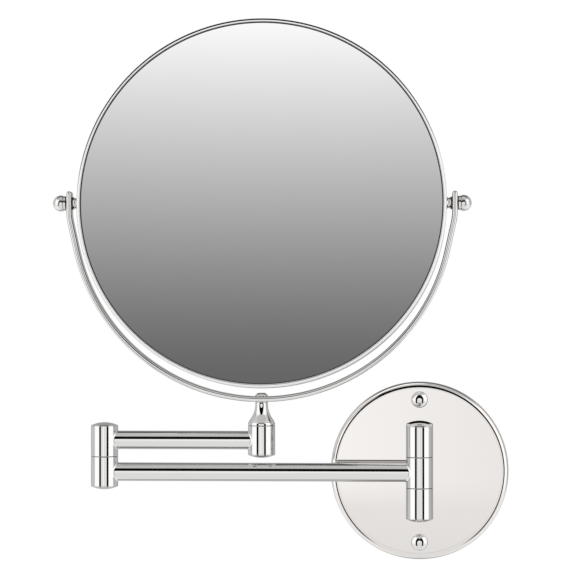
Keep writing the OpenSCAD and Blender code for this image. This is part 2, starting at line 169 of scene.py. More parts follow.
def add_grid(bm, rows, wrap_rows=False, wrap_points=True):
    """Skin over rows of points that have the same count."""
    verts = [[bm.verts.new(p) for p in row] for row in rows]
    count = len(verts[0])
    last_row = len(verts) if wrap_rows else len(verts) - 1
    last_point = count if wrap_points else count - 1
    for i in range(last_row):
        upper, lower = verts[i], verts[(i + 1) % len(verts)]
        for k in range(last_point):
            n = (k + 1) % count
            bm.faces.new([upper[k], upper[n], lower[n], lower[k]])
    return verts


def piece(name, bm, materials, body, nodes=()):
    """Turns a bmesh into a smooth piece that rides on a body and stands for its CAD nodes."""
    bmesh.ops.recalc_face_normals(bm, faces=bm.faces)
    mesh = bpy.data.meshes.new(name)
    bm.to_mesh(mesh)
    bm.free()
    for polygon in mesh.polygons:
        polygon.use_smooth = True
    mesh.set_sharp_from_angle(angle=SHARP)
    for material in materials if isinstance(materials, (list, tuple)) else [materials]:
        mesh.materials.append(material)
    obj = bpy.data.objects.new(name, mesh)
    bpy.context.scene.collection.objects.link(obj)
    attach(obj, body)
    if nodes:
        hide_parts(*nodes)
    weigh_normals(obj)
    return obj


def weigh_normals(obj):
    """Keeps wide faces flat in reflections where a small rounding meets them."""
    modifier = obj.modifiers.new("weighted_normals", "WEIGHTED_NORMAL")
    modifier.weight = NORMAL_WEIGHT
    modifier.keep_sharp = True


def cut(obj, cutter_bm):
    """Takes the cutter's solid away from a piece."""
    bmesh.ops.recalc_face_normals(cutter_bm, faces=cutter_bm.faces)
    mesh = bpy.data.meshes.new("cutter")
    cutter_bm.to_mesh(mesh)
    cutter_bm.free()
    cutter = bpy.data.objects.new("cutter", mesh)
    bpy.context.scene.collection.objects.link(cutter)
    modifier = obj.modifiers.new("cut", "BOOLEAN")
    modifier.operation = "DIFFERENCE"
    modifier.solver = "EXACT"
    modifier.object = cutter
    bpy.context.view_layer.update()
    evaluated = obj.evaluated_get(bpy.context.evaluated_depsgraph_get())
    result = bpy.data.meshes.new_from_object(evaluated)
    obj.modifiers.clear()
    old = obj.data
    obj.data = result
    bpy.data.meshes.remove(old)
    bpy.data.objects.remove(cutter)
    bpy.data.meshes.remove(mesh)
    result.set_sharp_from_angle(angle=SHARP)
    weigh_normals(obj)


def prism(radius, low, high, place, sides):
    """Solid bar with the given number of sides, as a cutter."""
    bm = bmesh.new()
    add_lathe(bm, [(0, low), (radius, low), (radius, high), (0, high)], place, sides)
    return bm


# Materials -------------------------------------------------------------------------------------

WAVE_DEPTH = 0.000002
TURNING_DEPTH = 0.00002
GRAIN_DEPTH = 0.00003


class Nodes:
    """Short calls for building a node tree."""

    def __init__(self, tree):
        self.tree = tree

    def add(self, kind, inputs=None, **settings):
        node = self.tree.nodes.new(kind)
        for key, value in settings.items():
            setattr(node, key, value)
        for key, value in (inputs or {}).items():
            self.put(node.inputs[key], value)
        return node

    def put(self, socket, value):
        if isinstance(value, bpy.types.NodeSocket):
            self.tree.links.new(value, socket)
        else:
            socket.default_value = value

    def math(self, operation, *values, clamp=False):
        node = self.add("ShaderNodeMath", dict(enumerate(values)), operation=operation)
        node.use_clamp = clamp
        return node.outputs[0]

    def ramp(self, value, stops, interpolation="LINEAR"):
        node = self.add("ShaderNodeValToRGB", {"Fac": value})
        node.color_ramp.interpolation = interpolation
        elements = node.color_ramp.elements
        while len(elements) < len(stops):
            elements.new(0.5)
        for element, (position, color) in zip(elements, stops):
            element.position = position
            element.color = (*color, 1) if len(color) == 3 else color
        return node.outputs["Color"]

    def noise(self, scale, detail=3.0, roughness=0.5, vector=None):
        node = self.add("ShaderNodeTexNoise", {
            "Scale": scale, "Detail": detail, "Roughness": roughness,
            "Vector": vector or self.place(),
        })
        return node.outputs["Fac"]

    def place(self):
        return self.add("ShaderNodeTexCoord").outputs["Object"]

    def stretched(self, scale):
        return self.add("ShaderNodeMapping", {"Vector": self.place(), "Scale": scale}).outputs[0]

    def between(self, factor, low, high):
        node = self.add("ShaderNodeMapRange", {"Value": factor, "To Min": low, "To Max": high})
        return node.outputs[0]

    def bump(self, height, strength, distance):
        node = self.add("ShaderNodeBump", {
            "Height": height, "Strength": strength, "Distance": distance,
        })
        return node.outputs["Normal"]


def new_material(name, **uniform):
    """A Principled material; uniform values go straight on the shader's own sockets."""
    material = bpy.data.materials.new(name)
    material.use_nodes = True
    nodes = Nodes(material.node_tree)
    shader = material.node_tree.nodes["Principled BSDF"]
    for key, value in uniform.items():
        shader.inputs[key.replace("_", " ")].default_value = value
    material.diffuse_color = uniform.get("Base_Color", (0.8, 0.8, 0.8, 1))
    return material, nodes, shader


def plated(name, tint, smooth, hazy):
    """Chrome plate: fine polishing haze in the roughness and the faint waviness of the metal under it."""
    material, nodes, shader = new_material(name, Metallic=1.0, Base_Color=(*tint, 1))
    haze = nodes.noise(140.0, detail=6.0, roughness=0.65)
    lines = nodes.noise(60.0, detail=4.0, vector=nodes.stretched((1.0, 1.0, 14.0)))
    mixed = nodes.math("MULTIPLY", haze, lines)
    nodes.put(shader.inputs["Roughness"], nodes.between(mixed, smooth, hazy))
    shade = nodes.ramp(nodes.noise(35.0, detail=2.0), [
        (0.35, tuple(0.985 * c for c in tint)), (0.65, tint),
    ])
    nodes.put(shader.inputs["Base Color"], shade)
    ripple = nodes.noise(40.0, detail=1.0)
    nodes.put(shader.inputs["Normal"], nodes.bump(ripple, 0.2, WAVE_DEPTH))
    return material


def turned_steel(name, tint):
    """Machined or zinc plated steel of the hidden fasteners, with fine turning marks."""
    material, nodes, shader = new_material(name, Metallic=1.0, Base_Color=(*tint, 1))
    grain = nodes.noise(900.0, detail=4.0, vector=nodes.stretched((1.0, 1.0, 6.0)))
    spots = nodes.noise(220.0, detail=3.0)
    nodes.put(shader.inputs["Roughness"], nodes.between(spots, 0.22, 0.42))
    shade = nodes.ramp(grain, [(0.3, tuple(0.86 * c for c in tint)), (0.7, tint)])
    nodes.put(shader.inputs["Base Color"], shade)
    nodes.put(shader.inputs["Normal"], nodes.bump(grain, 0.3, TURNING_DEPTH))
    return material


def moulded(name, dark, light, roughness, grain_scale):
    """Moulded plastic or pressed fibre: a fine grain in colour, roughness and relief."""
    material, nodes, shader = new_material(name, Base_Color=(*light, 1))
    grain = nodes.noise(grain_scale, detail=5.0, roughness=0.6)
    nodes.put(shader.inputs["Base Color"], nodes.ramp(grain, [(0.35, dark), (0.68, light)]))
    nodes.put(shader.inputs["Roughness"], nodes.between(grain, roughness - 0.08, roughness + 0.1))
    nodes.put(shader.inputs["Normal"], nodes.bump(grain, 0.35, GRAIN_DEPTH))
    return material


def mirror_bright(name, tint):
    """A perfect mirror with a trace of wiping haze in its tone: silvered float glass or a buffed flat."""
    material, nodes, shader = new_material(name, Metallic=1.0, Roughness=0.0, Base_Color=(*tint, 1))
    smear = nodes.noise(18.0, detail=5.0, vector=nodes.stretched((1.0, 1.0, 0.35)))
    shade = nodes.ramp(smear, [(0.3, tuple(0.985 * c for c in tint)), (0.7, tint)])
    nodes.put(shader.inputs["Base Color"], shade)
    return material


CHROME = plated("chrome", (0.71, 0.705, 0.70), 0.01, 0.04)
PLATE_CHROME = plated("plate_chrome", (0.733, 0.71, 0.692), 0.01, 0.045)
SATIN_CHROME = plated("satin_chrome", (0.74, 0.73, 0.72), 0.17, 0.3)
YOKE_CHROME = plated("yoke_chrome", (0.71, 0.705, 0.70), 0.05, 0.09)
STEEL = turned_steel("bare_steel", (0.56, 0.56, 0.57))
ZINC = turned_steel("zinc_steel", (0.66, 0.67, 0.66))
NYLON = moulded("black_nylon", (0.012, 0.012, 0.013), (0.035, 0.035, 0.037), 0.45, 1500.0)
FIBRE = moulded("brown_fibre", (0.03, 0.02, 0.012), (0.085, 0.058, 0.036), 0.6, 2200.0)
CORE = moulded("core_plastic", (0.16, 0.165, 0.17), (0.2, 0.205, 0.21), 0.5, 700.0)
# Dark colour painted on a ring round the edge of each glass, inside the frame's lip.
DARK_EDGE_RING = moulded("dark_edge_ring", (0.035, 0.036, 0.037), (0.075, 0.076, 0.077), 0.4, 900.0)
GLASS = mirror_bright("silvered_glass", (0.905, 0.905, 0.903))
PLATE_FACE = mirror_bright("plate_face", (0.733, 0.71, 0.692))
MATERIAL_OF_SLOT = {
    "chrome": CHROME, "plate_chrome": PLATE_CHROME, "bare_steel": STEEL, "zinc_steel": ZINC,
    "black_nylon": NYLON, "brown_fibre": FIBRE, "core_plastic": CORE, "silvered_glass": GLASS,
}
SLOT_OF_NODE = {part["node"]: part["material_slot"] for part in frame["record"]["subparts"]}
BODY_OF_NODE = {
    node: body for body, nodes in frame["record"]["behaviour"]["bodies"].items() for node in nodes
}


def turned(node, profile, place, segments=64, closed=False, ease=0.0):
    """A lathe piece that stands for one CAD node and takes its body and finish from it."""
    bm = bmesh.new()
    add_lathe(bm, eased(profile, ease, closed) if ease else profile, place, segments, closed)
    return stand_in(node, bm)


def stand_in(node, bm, material=None):
    """A piece for one CAD node, on its body, in its slot's finish or in another material."""
    slot = SLOT_OF_NODE[node]
    finish = material or MATERIAL_OF_SLOT[slot]
    return piece(node + "_fine", bm, finish, BODY_OF_NODE[node], [node])


def finish_carried_nodes():
    """The CAD nodes that stay get their slot's material, on smooth shading where they are round."""
    for node, obj in frame["nodes"].items():
        if obj.hide_render:
            continue
        obj.data.materials.clear()
        obj.data.materials.append(MATERIAL_OF_SLOT[SLOT_OF_NODE[node]])
        for polygon in obj.data.polygons:
            polygon.use_smooth = True
        obj.data.set_sharp_from_angle(angle=SHARP)


# Wall plate and its fixings --------------------------------------------------------------------

PLATE_R = half_width("wall_plate")
PLATE_DEPTH = -reach("wall_plate", "y", -1)
PLATE_CORNER = 3.4 * MM
PLATE_CORNER_W = 4.2 * MM
SHEET = 1.3 * MM
POST_Z = middle("upper_fixed_knuckle").z
SCREW_Z = middle("upper_screw_cap").z
POST_HOLE_R = 2.2 * MM
SCREW_HOLE_R = 2.6 * MM


def circle(radius, centre, height, place, segments):
    return [
        place @ Vector((centre[0] + radius * math.cos(a), centre[1] + radius * math.sin(a), height))
        for a in (2 * math.pi * k / segments for k in range(segments))
    ]


def on_plate_face(z):
    """Lathe axis out of the plate's flat face."""
    return into_room(0, z) @ Matrix.Translation((0, 0, PLATE_DEPTH))


def flat_with_holes(bm, rim_verts, hole_loops):
    """Fills the flat between a rim and the loops of its holes."""
    edges = []
    for loop in [rim_verts] + hole_loops:
        for k, vert in enumerate(loop):
            other = loop[(k + 1) % len(loop)]
            edges.append(bm.edges.get((vert, other)) or bm.edges.new((vert, other)))
    bmesh.ops.triangle_fill(bm, edges=edges, use_beauty=True)


def rim_corner(inset, steps):
    """Oval corner of the dish, wider than it is deep, from the side up to the flat."""
    wide, deep = PLATE_CORNER_W - inset, PLATE_CORNER - inset
    turns = [QUARTER * i / steps for i in range(steps + 1)]
    return [(PLATE_R - PLATE_CORNER_W + wide * math.cos(t), PLATE_DEPTH - PLATE_CORNER + deep * math.sin(t))
            for t in turns]


def wall_plate():
    place, segments = into_room(), 256
    outer = [(PLATE_R, 0)] + rim_corner(0.0, 24)
    inner = list(reversed(rim_corner(SHEET, 10))) + [(PLATE_R - SHEET, 0)]
    bm = bmesh.new()
    rows = [circle(radius, (0, 0), height, place, segments) for radius, height in inner + outer]
    verts = add_grid(bm, rows)
    holes = [(0, s * POST_Z, POST_HOLE_R) for s in (-1, 1)]
    holes += [(0, s * SCREW_Z, SCREW_HOLE_R) for s in (-1, 1)]
    walls = []
    for x, z, radius in holes:
        walls.append(add_grid(bm, [
            circle(radius, (x, z), height, place, 48) for height in (PLATE_DEPTH - SHEET, PLATE_DEPTH)
        ]))
    flat_with_holes(bm, verts[0], [wall[0] for wall in walls])
    flat_with_holes(bm, verts[-1], [wall[1] for wall in walls])
    obj = stand_in("wall_plate", bm)
    obj.data.materials.append(PLATE_FACE)
    for polygon in obj.data.polygons:
        if polygon.normal.y < -0.999 and abs(polygon.center.y + PLATE_DEPTH) < 0.01 * MM:
            polygon.material_index = 1


CAP_R = half_width("upper_screw_cap")
CAP_H = -reach("upper_screw_cap", "y", -1) - PLATE_DEPTH
CAP_RIM = 1.4 * MM
CAP_WALL = 0.7 * MM
SCREW_HEAD_R = 3.6 * MM
SCREW_HEAD_H = 1.4 * MM
SCREW_HEAD_EDGE = 0.5 * MM


def ball_under(radius, rise):
    """Radius of the ball whose cap has this rim radius and this rise."""
    return (radius ** 2 + rise ** 2) / (2 * rise)


def dome(radius, rim, height, steps=14):
    """Profile of a dome from its rim to its top; rim and height are measured from the same level."""
    rise = height - rim
    ball = ball_under(radius, rise)
    start = math.degrees(math.asin((ball - rise) / ball))
    points = arc((0, height - ball), ball, start, 90, steps)
    points[0], points[-1] = (radius, rim), (0, height)
    return points


def screw_caps():
    for name, side in (("upper", 1), ("lower", -1)):
        outside = [(CAP_R, 0)] + dome(CAP_R, CAP_RIM, CAP_H)
        bore = SCREW_HEAD_R + PLAY
        ball = ball_under(CAP_R, CAP_H - CAP_RIM) - CAP_WALL
        top = CAP_H - CAP_WALL
        edge = math.degrees(math.acos(bore / ball))
        inside = arc((0, top - ball), ball, 90, edge, 6)
        inside[0] = (0, top)
        profile = [(CAP_R, 0)] + [(CAP_R, CAP_RIM - 0.25 * MM)] + outside[2:] + inside + [(bore, 0)]
        turned(name + "_screw_cap", profile, on_plate_face(side * SCREW_Z), 64, closed=True)


SCREW_TIP = reach("fixing_screws", "y", 1)
SCREW_NECK_R = 2.25 * MM
SCREW_NECK_L = 3.0 * MM
THREAD_R = 2.0 * MM
THREAD_CORE_R = 1.45 * MM
THREAD_PITCH = 1.7 * MM
THREAD_TIP_L = 5.0 * MM
RECESS_L = 4.4 * MM
RECESS_W = 0.9 * MM
RECESS_H = 1.0 * MM
RIDGE_WIDTH = 0.28


def add_wood_thread(bm, place, start, length):
    """Helical thread from start away from the head, tapering to a point."""
    around, per_pitch = 24, 10
    count = int(length / THREAD_PITCH * per_pitch)
    rows = []
    for i in range(count + 1):
        depth = length * i / count
        taper = min(1.0, (length - depth) / THREAD_TIP_L + 0.04)
        grown = min(1.0, depth / THREAD_PITCH)
        row = []
        for k in range(around):
            angle = 2 * math.pi * k / around
            phase = (depth / THREAD_PITCH - k / around) % 1.0
            ridge = max(0.0, 1 - abs(phase - 0.5) / RIDGE_WIDTH) * grown
            radius = taper * (THREAD_CORE_R + (THREAD_R - THREAD_CORE_R) * ridge)
            point = Vector((radius * math.cos(angle), radius * math.sin(angle), start - depth))
            row.append(place @ point)
        rows.append(row)
    verts = add_grid(bm, rows)
    bm.faces.new(verts[0])
    bm.faces.new(verts[-1])


def fixing_screws():
    bm = bmesh.new()
    places = [on_plate_face(s * SCREW_Z) for s in (-1, 1)]
    for place in places:
        head = [
            (0, SCREW_HEAD_H), (SCREW_HEAD_R - SCREW_HEAD_EDGE, SCREW_HEAD_H),
            (SCREW_HEAD_R, SCREW_HEAD_H - SCREW_HEAD_EDGE), (SCREW_HEAD_R, 0), (SCREW_NECK_R, 0),
            (SCREW_NECK_R, -SCREW_NECK_L), (0, -SCREW_NECK_L),
        ]
        add_lathe(bm, eased(head, 0.2 * MM, False), place, 48)
    obj = stand_in("fixing_screws", bm)
    for place in places:
        for turn in (0, QUARTER):
            cross = bmesh.new()
            size = Vector((RECESS_L, RECESS_W, 2 * RECESS_H))
            lift = Matrix.Translation((0, 0, SCREW_HEAD_H)) @ Matrix.Rotation(turn, 4, "Z")
            bmesh.ops.create_cube(cross, size=1, matrix=place @ lift @ Matrix.Diagonal((*size, 1)))
            cut(obj, cross)
    shank = SCREW_TIP + PLATE_DEPTH - SCREW_NECK_L
    whole = bmesh.new()
    whole.from_mesh(obj.data)
    for place in places:
        add_wood_thread(whole, place, -SCREW_NECK_L, shank)
    bmesh.ops.recalc_face_normals(whole, faces=whole.faces)
    for face in whole.faces:
        face.smooth = True
    whole.to_mesh(obj.data)
    whole.free()


POST_SCREW_R = 2.0 * MM
POST_SCREW_L = 9.0 * MM
POST_HEAD_R = 3.6 * MM
POST_HEAD_H = 2.4 * MM
SOCKET_R = 1.73 * MM
SOCKET_H = 1.6 * MM


def bracket_screws():
    bm = bmesh.new()
    turn_back = Matrix.Rotation(math.pi, 4, "X")
    places = [
        into_room(0, s * POST_Z) @ Matrix.Translation((0, 0, PLATE_DEPTH - SHEET)) @ turn_back
        for s in (-1, 1)
    ]
    profile = [
        (0, POST_HEAD_H), (POST_HEAD_R, POST_HEAD_H), (POST_HEAD_R, 0), (POST_SCREW_R, 0),
        (POST_SCREW_R, -POST_SCREW_L), (0, -POST_SCREW_L),
    ]
    for place in places:
        add_lathe(bm, eased(profile, 0.3 * MM, False), place, 48)
    obj = stand_in("bracket_screws", bm)
    for place in places:
        cut(obj, prism(SOCKET_R, POST_HEAD_H - SOCKET_H, POST_HEAD_H + 1 * MM, place, 6))


# Hinge barrels ---------------------------------------------------------------------------------

BARREL_R = half_width("wall_top_cap")
BORE_R = 2.56 * MM
POCKET_R = 5.35 * MM
WALL_POCKET_L = 8.0 * MM
ELBOW_LOWER_POCKET_L = 7.4 * MM
ELBOW_UPPER_POCKET_L = 7.6 * MM
BARREL_EASE = 0.22 * MM
POST_R = 5.0 * MM
TUBE_R = half_width("lower_arm_tube", "z")
TUBE_WALL = 1.2 * MM
SPIGOT_R = TUBE_R - TUBE_WALL - PLAY
SPIGOT_L = 8.0 * MM
FILLET = 0.7 * MM


def add_barrel(bm, place, low, high, bore, pocket=None, pocket_from=None):
    """Closed ring of a knuckle, with a wider pocket above or below pocket_from if it has one."""
    if pocket is None:
        profile = [(bore, low), (BARREL_R, low), (BARREL_R, high), (bore, high)]
    elif pocket_from > (low + high) / 2:
        profile = [(bore, low), (BARREL_R, low), (BARREL_R, high), (pocket, high),
                   (pocket, pocket_from), (bore, pocket_from)]
    else:
        profile = [(pocket, low), (BARREL_R, low), (BARREL_R, high), (bore, high),
                   (bore, pocket_from), (pocket, pocket_from)]
    add_lathe(bm, eased(profile, BARREL_EASE), place, 128, closed=True)


BAR_POINTS = 64


def coped_ring(place, radius, along):
    """Ring round a bar, at a distance from the side of the barrel that it meets. The barrel stands on
    the place's Z axis and the bar points along its X."""
    ring = []
    for k in range(BAR_POINTS):
        angle = 2 * math.pi * k / BAR_POINTS
        y, z = radius * math.cos(angle), radius * math.sin(angle)
        ring.append(place @ Vector((math.sqrt(BARREL_R ** 2 - y ** 2) + along, y, z)))
    return ring


def fillet_section(fillet, steps=8):
    """A fillet's growth of the bar and its distance from the barrel, from the barrel outwards."""
    turns = [QUARTER * i / steps for i in range(steps + 1)]
    return [(fillet * (1 - math.sin(t)), fillet * (1 - math.cos(t))) for t in turns]


def add_saddle(bm, place, radius, length, fillet):
    """Round bar that starts on a barrel's side, with a fillet if that isn't 0."""
    sides = fillet_section(fillet) if fillet else []
    sides += [(0, fillet + 0.3 * MM)]
    rows = [coped_ring(place, radius + growth, along) for growth, along in sides]
    rows.append([
        place @ Vector((length, radius * math.cos(a), radius * math.sin(a)))
        for a in (2 * math.pi * k / BAR_POINTS for k in range(BAR_POINTS))
    ])
    verts = add_grid(bm, rows)
    bm.faces.new(verts[-1])


def add_end_fillet(bm, place, radius, fillet):
    """Ring of solder between a barrel and the tube that butts against it."""
    inside = radius - 0.6 * MM
    section = fillet_section(fillet)
    section += [(0.005 * MM, fillet * 1.05), (inside - radius, fillet * 0.5), (inside - radius, 0)]
    rows = [coped_ring(place, radius + growth, along) for growth, along in section]
    add_grid(bm, rows, wrap_rows=True)


def fixed_knuckles():
    for name, side in (("upper", 1), ("lower", -1)):
        low = abs(reach(name + "_fixed_knuckle", "z", -side))
        high = abs(reach(name + "_fixed_knuckle", "z", side))
        bm = bmesh.new()
        place = on_z(0, HINGE_Y) @ upright(side)
        add_barrel(bm, place, low, high, BORE_R, POCKET_R, high - WALL_POCKET_L)
        turn = Matrix.Rotation(QUARTER * side, 4, "Z")
        at_post = place @ Matrix.Translation((0, 0, (low + high) / 2)) @ turn
        add_saddle(bm, at_post, POST_R, -HINGE_Y - PLATE_DEPTH, FILLET)
        stand_in(name + "_fixed_knuckle", bm)


def arm_knuckle(node, x, arm_z, side, low, high, bore, pocket=None, pocket_from=None):
    """Knuckle of an arm: barrel, solder fillet and the spigot that the tube slides over."""
    bm = bmesh.new()
    place = on_z(x, HINGE_Y)
    add_barrel(bm, place, low, high, bore, pocket, pocket_from)
    turn = Matrix.Identity(4) if side > 0 else Matrix.Rotation(math.pi, 4, "Z")
    at_arm = on_z(x, HINGE_Y, arm_z) @ turn
    add_saddle(bm, at_arm, SPIGOT_R, BARREL_R + SPIGOT_L, 0)
    add_end_fillet(bm, at_arm, TUBE_R, FILLET)
    stand_in(node, bm)


ARM_SPACING = middle("upper_arm_tube").z
STEM_SPIGOT_R = 4.0 * MM
STEM_POCKET_R = 5.6 * MM
STEM_POCKET_L = 4.8 * MM


def arm_knuckles():
    def ends(node):
        return reach(node, "z", -1), reach(node, "z", 1)

    node = "lower_arm_wall_knuckle"
    arm_knuckle(node, 0, 0, -1, *ends(node), BORE_R)
    node = "lower_arm_elbow_knuckle"
    low, high = ends(node)
    arm_knuckle(node, ELBOW_X, 0, 1, low, high, BORE_R, POCKET_R, low + ELBOW_LOWER_POCKET_L)
    node = "upper_arm_elbow_knuckle"
    low, high = ends(node)
    arm_knuckle(node, ELBOW_X, ARM_SPACING, 1, low, high, BORE_R, POCKET_R,
                high - ELBOW_UPPER_POCKET_L)
    node = "upper_arm_stem_knuckle"
    low, high = ends(node)
    arm_knuckle(node, STEM_X, ARM_SPACING, -1, low, high, STEM_SPIGOT_R + LOOSE_PLAY,
                STEM_POCKET_R, low + STEM_POCKET_L)


def arm_tube(node, x0, x1, z, around=96):
    """Drawn tube between two barrels, coped to both."""
    bm = bmesh.new()
    rows = []
    cope = BARREL_R + PLAY
    near = 1.2 * MM
    for radius, ends in ((TUBE_R, (0, near, -near, -0.0)), (TUBE_R - TUBE_WALL, (-0.0, -near, near, 0))):
        for end in ends:
            from_right = math.copysign(1, end) < 0
            ring = []
            for k in range(around):
                angle = 2 * math.pi * k / around
                y, zz = radius * math.cos(angle), radius * math.sin(angle)
                edge = math.sqrt(cope ** 2 - y ** 2)
                x = x1 - edge + end if from_right else x0 + edge + end
                ring.append(Vector((x, HINGE_Y + y, z + zz)))
            rows.append(ring)
    add_grid(bm, rows, wrap_rows=True)
    stand_in(node, bm)


def arm_tubes():
    arm_tube("lower_arm_tube", ELBOW_X, 0, 0)
    arm_tube("upper_arm_tube", ELBOW_X, STEM_X, ARM_SPACING)


DOME_H = 2.4 * MM
DOME_RIM = 0.4 * MM
DOME_EDGE = 0.12 * MM
PLUG_L = 2.2 * MM
ELBOW_LOWER_PLUG_L = 1.6 * MM
STEM_PLUG_L = 1.2 * MM


def barrel_cap(node, x, side, plug_r, plug_l):
    """Domed cap with the plug that holds it in the knuckle's pocket."""
    profile = [(0, -plug_l), (plug_r, -plug_l), (plug_r, 0), (BARREL_R - DOME_EDGE, 0),
               (BARREL_R, DOME_EDGE)]
    profile += dome(BARREL_R, DOME_RIM, DOME_H, 20)
    seam = reach(node, "z", side) - side * DOME_H
    turned(node, profile, on_z(x, HINGE_Y, seam) @ upright(side), 128)


def barrel_caps():
    plug = POCKET_R - PLAY
    for node, x, side, plug_r, plug_l in (
        ("wall_top_cap", 0, 1, plug, PLUG_L),
        ("wall_bottom_cap", 0, -1, plug, PLUG_L),
        ("elbow_top_cap", ELBOW_X, 1, plug, PLUG_L),
        ("elbow_bottom_cap", ELBOW_X, -1, plug, ELBOW_LOWER_PLUG_L),
        ("stem_bottom_cap", STEM_X, -1, STEM_POCKET_R - PLAY, STEM_PLUG_L),
    ):
        barrel_cap(node, x, side, plug_r, plug_l)


WASHER_EASE = 0.1 * MM


def washer(node, place, radius, hole, low, high):
    profile = [(hole, low), (radius, low), (radius, high), (hole, high)]
    turned(node, profile, place, 96, closed=True, ease=WASHER_EASE)


def hinge_washers():
    for node, x, hole in (
        ("wall_upper_washer", 0, BORE_R), ("wall_lower_washer", 0, BORE_R),
        ("elbow_washer", ELBOW_X, BORE_R), ("stem_bearing_washer", STEM_X, STEM_SPIGOT_R + PLAY),
    ):
        low, high = reach(node, "z", -1), reach(node, "z", 1)
        washer(node, on_z(x, HINGE_Y), half_width(node), hole, low, high)


# Yoke and stem ---------------------------------------------------------------------------------

YOKE_OUT = half_width("yoke")
YOKE_T = 3.5 * MM
YOKE_W = 2 * half_width("yoke", "y")
YOKE_TOP = reach("yoke", "z", 1)
YOKE_BOTTOM = reach("yoke", "z", -1)
YOKE_R = 118.7 * MM
YOKE_LEAN = math.radians(12.5)
YOKE_STRAIGHT = 18.0 * MM
STUD_R = 2.0 * MM
YOKE_PAD = 4.0 * MM
ARC_STEPS = 120
BEND_STEPS = 8
TIP_STEPS = 9
SECTION_STEPS = 24
WELD = 1e-6


def yoke_half_line():
    """Middle line of the right half from its tip to the bottom: place and outward direction. The arc
    goes over into a straight that leans out, and a bend brings the strip upright at the pivot."""
    lean_cos, lean_sin = math.cos(YOKE_LEAN), math.sin(YOKE_LEAN)
    arc_r = YOKE_R + YOKE_T / 2
    arc_z = YOKE_BOTTOM + YOKE_T / 2 + arc_r
    pad_x = YOKE_OUT - YOKE_T / 2
    bend_r = (pad_x - arc_r * lean_cos - YOKE_STRAIGHT * lean_sin) / (1 - lean_cos)
    bend_x = pad_x - bend_r
    bend_z = arc_z + YOKE_STRAIGHT * lean_cos - (arc_r - bend_r) * lean_sin
    line = [(pad_x, YOKE_TOP - YOKE_T / 2, 0.0), (pad_x, bend_z + YOKE_PAD, 0.0)]
    for i in range(BEND_STEPS + 1):
        a = -YOKE_LEAN * i / BEND_STEPS
        line.append((bend_x + bend_r * math.cos(a), bend_z + bend_r * math.sin(a), a))
    for i in range(ARC_STEPS + 1):
        a = -YOKE_LEAN - (QUARTER - YOKE_LEAN) * i / ARC_STEPS
        line.append((arc_r * math.cos(a), arc_z + arc_r * math.sin(a), a))
    return line


def yoke():
    """The strip has a stadium section and round ends."""
    half_t, flat = YOKE_T / 2, (YOKE_W - YOKE_T) / 2
    section = [(flat + half_t * math.cos(a), half_t * math.sin(a)) for a in
               (-QUARTER + math.pi * i / SECTION_STEPS for i in range(SECTION_STEPS + 1))]
    section += [(-y, -out) for y, out in section]
    line = yoke_half_line()
    tip_x, tip_z, _ = line[0]
    tip = []
    for i in range(TIP_STEPS):
        turn = QUARTER * (1 - i / TIP_STEPS)
        tip.append((Vector((tip_x, 0, tip_z + half_t * math.sin(turn))), 0.0, math.cos(turn)))
    right = tip + [(Vector((x, 0, z)), a, 1.0) for x, z, a in line]
    left = [(Vector((-p.x, 0, p.z)), -math.pi - a, shrink) for p, a, shrink in reversed(right[:-1])]
    stations = right + left
    bm = bmesh.new()
    rows = []
    for point, a, shrink in stations:
        outward = Vector((math.cos(a), 0, math.sin(a)))
        row = []
        for y, out in section:
            core = max(-flat, min(flat, y))
            shifted = point + outward * out * shrink + Vector((0, core + (y - core) * shrink, 0))
            row.append(shifted + Vector((STEM_X, HINGE_Y, 0)))
        rows.append(row)
    verts = add_grid(bm, rows)
    bm.faces.new(verts[0])
    bm.faces.new(verts[-1])
    bmesh.ops.remove_doubles(bm, verts=bm.verts, dist=WELD)
    obj = stand_in("yoke", bm, YOKE_CHROME)
    across = on_z(STEM_X, HINGE_Y, PIVOT.z) @ Matrix.Rotation(QUARTER, 4, "Y")
    cut(obj, prism(STUD_R + LOOSE_PLAY, -THROUGH, THROUGH, across, 32))
    down = on_z(STEM_X, HINGE_Y, YOKE_BOTTOM)
    cut(obj, prism(STUD_R + PLAY, -5 * MM, 10 * MM, down, 32))


STEM_BASE = reach("stem_bearing_washer", "z", 1)
STEM_TOP = YOKE_BOTTOM
COLLAR_R = BARREL_R - PLAY
COLLAR_H = 2.6 * MM
COLLAR_ROUND = 1.6 * MM
SHOULDER_R = 8.0 * MM
NECK_R = 4.0 * MM
NECK_STRAIGHT = 1.6 * MM
SPIGOT_HOLE_L = 8.0 * MM
NECK_HOLE_L = 11.0 * MM
FLARE_STEPS = 24


def yoke_stem():
    """Turned stem: spigot, collar and a flare that narrows to the neck under the yoke."""
    low = reach("yoke_stem", "z", -1)
    flare_low, flare_high = STEM_BASE + COLLAR_H, STEM_TOP - NECK_STRAIGHT
    hole = STUD_R + PLAY
    lower_end, upper_end = low + SPIGOT_HOLE_L, STEM_TOP - NECK_HOLE_L
    profile = [(0, lower_end), (hole, lower_end), (hole, low), (STEM_SPIGOT_R, low),
               (STEM_SPIGOT_R, STEM_BASE), (COLLAR_R - 0.1 * MM, STEM_BASE)]
    profile += arc((COLLAR_R - COLLAR_ROUND, flare_low - COLLAR_ROUND), COLLAR_ROUND, 0, 55, 10)
    for i in range(FLARE_STEPS + 1):
        t = i / FLARE_STEPS
        profile.append((NECK_R + (SHOULDER_R - NECK_R) * (1 - t) ** 2,
                        flare_low + (flare_high - flare_low) * t))
    profile += [(NECK_R, STEM_TOP - 0.25 * MM), (NECK_R - 0.15 * MM, STEM_TOP), (hole, STEM_TOP),
                (hole, upper_end), (0, upper_end)]
    turned("yoke_stem", profile, on_z(STEM_X, HINGE_Y), 128)


YOKE_HEAD_R = half_width("yoke_screw")
YOKE_HEAD_H = 2.2 * MM
YOKE_HEAD_TOP_R = 2.4 * MM
YOKE_HEAD_EDGE = 0.5 * MM
YOKE_SOCKET_FLOOR = 0.8 * MM


